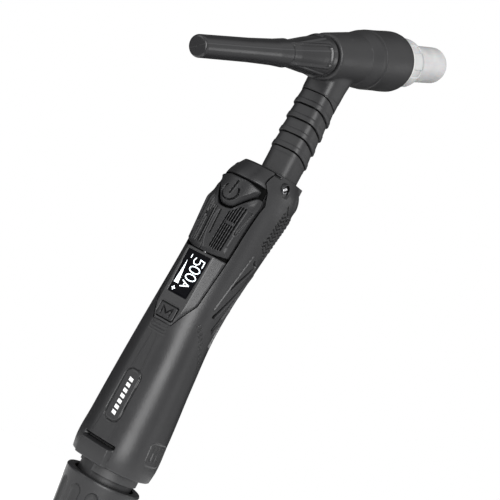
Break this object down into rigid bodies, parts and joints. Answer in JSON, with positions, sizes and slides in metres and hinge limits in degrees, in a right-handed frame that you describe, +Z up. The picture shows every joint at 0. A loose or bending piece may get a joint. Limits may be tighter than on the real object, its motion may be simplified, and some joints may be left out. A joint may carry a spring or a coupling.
{
  "type": "tig torch",
  "caption": "Water-cooled TIG torch: long back cap, ceramic cup, ribbed neck and a moulded handle with trigger, rocker, display and fluted cable sleeve.",
  "frame": {"origin": "centre of the cable inlet bore at the lower end of the fluted sleeve", "axes": "+Z up along the handle, -Y the face with the controls, +Y the side of the ceramic cup, +X to the right of someone facing the controls"},
  "size_m": [0.039, 0.1914, 0.3088],
  "materials": {
    "handle_plastic": "fine matt texture",
    "button_plastic": "matt",
    "head_plastic": "satin",
    "phenolic": "satin gloss",
    "neck_rubber": "matt",
    "soft_rubber": "matt",
    "inner_plastic": "matt",
    "white_plastic": "satin",
    "alumina": "fired, unglazed",
    "gasket_white": "waxy",
    "copper": "drawn",
    "brass": "turned",
    "steel": "zinc plated",
    "board_green": "solder mask",
    "display_glass": "polished",
    "switch_black": "matt"
  },
  "bodies": {
    "torch": {"handle_body": "handle_plastic", "front_cover": "handle_plastic", "board_carrier": "inner_plastic", "circuit_board": "board_green", "board_screws": "steel", "control_socket": "white_plastic", "display_panel": "switch_black", "display_window": "display_glass", "trigger_switch": "switch_black", "rocker_pins": "steel", "rocker_switches": "switch_black", "mode_switch": "switch_black", "side_screws": "steel", "name_plate": "button_plastic", "neck_clamp": "inner_plastic", "clamp_screws": "steel", "neck_sleeve": "neck_rubber", "power_tube": "copper", "gas_tube": "copper", "water_tube": "copper", "power_fitting": "brass", "gas_barb": "brass", "water_barb": "brass", "head_core": "brass", "head_cover": "head_plastic", "heat_shield": "head_plastic", "collet_body": "copper", "gas_lens_screens": "steel", "collet": "copper", "collar_retainer": "inner_plastic"},
    "trigger": {"trigger_button": "button_plastic", "trigger_plunger": "white_plastic"},
    "rocker": {"control_rocker": "button_plastic"},
    "mode": {"mode_button": "button_plastic"},
    "cap_seal": {"back_cap_o_ring": "soft_rubber"},
    "cap": {"back_cap": "phenolic"},
    "cup_seal": {"cup_gasket": "gasket_white"},
    "cup_body": {"cup": "alumina"},
    "swivel": {"tail_collar": "head_plastic"},
    "sleeve": {"cable_sleeve": "handle_plastic", "sleeve_lock_ring": "inner_plastic", "cable_grommet": "soft_rubber"}
  },
  "joints": [
    {"name": "trigger_press", "type": "slide", "parent": "torch", "child": "trigger", "axis": [0, 1, 0], "range_m": [0, 0.0014], "stiffness_N_per_m": 1500},
    {"name": "rocker_tilt", "type": "hinge", "parent": "torch", "child": "rocker", "pos_m": [0, -0.0136, 0.165], "axis": [0, 0, 1], "range_deg": [-2.5, 2.5], "stiffness_Nm_per_rad": 0.9},
    {"name": "mode_press", "type": "slide", "parent": "torch", "child": "mode", "axis": [0, 1, 0], "range_m": [0, 0.0006], "stiffness_N_per_m": 1500},
    {"name": "cap_advance", "type": "slide", "parent": "torch", "child": "cap_seal", "axis": [0, -0.9336, -0.3584], "range_m": [0, 0.0038]},
    {"name": "cap_turn", "type": "hinge", "parent": "cap_seal", "child": "cap", "pos_m": [0, 0.0127, 0.2684], "axis": [0, -0.9336, -0.3584], "range_deg": [0, 1080]},
    {"name": "cup_advance", "type": "slide", "parent": "torch", "child": "cup_seal", "axis": [0, 0.9336, 0.3584], "range_m": [0, 0.0031]},
    {"name": "cup_turn", "type": "hinge", "parent": "cup_seal", "child": "cup_body", "pos_m": [0, 0.0127, 0.2684], "axis": [0, 0.9336, 0.3584], "range_deg": [0, 720]},
    {"name": "cable_swivel", "type": "hinge", "parent": "torch", "child": "swivel", "pos_m": [0, 0, 0.055], "axis": [0, 0, 1], "range_deg": [-170, 170]},
    {"name": "sleeve_tilt", "type": "hinge", "parent": "swivel", "child": "sleeve", "pos_m": [0, 0, 0.03], "axis": [1, 0, 0], "range_deg": [-7, 7]}
  ],
  "couplings": [
    {"joint": "cap_advance", "follows": "cap_turn", "m_per_rad": 0.00019894},
    {"joint": "cup_advance", "follows": "cup_turn", "m_per_rad": 0.00023873}
  ]
}
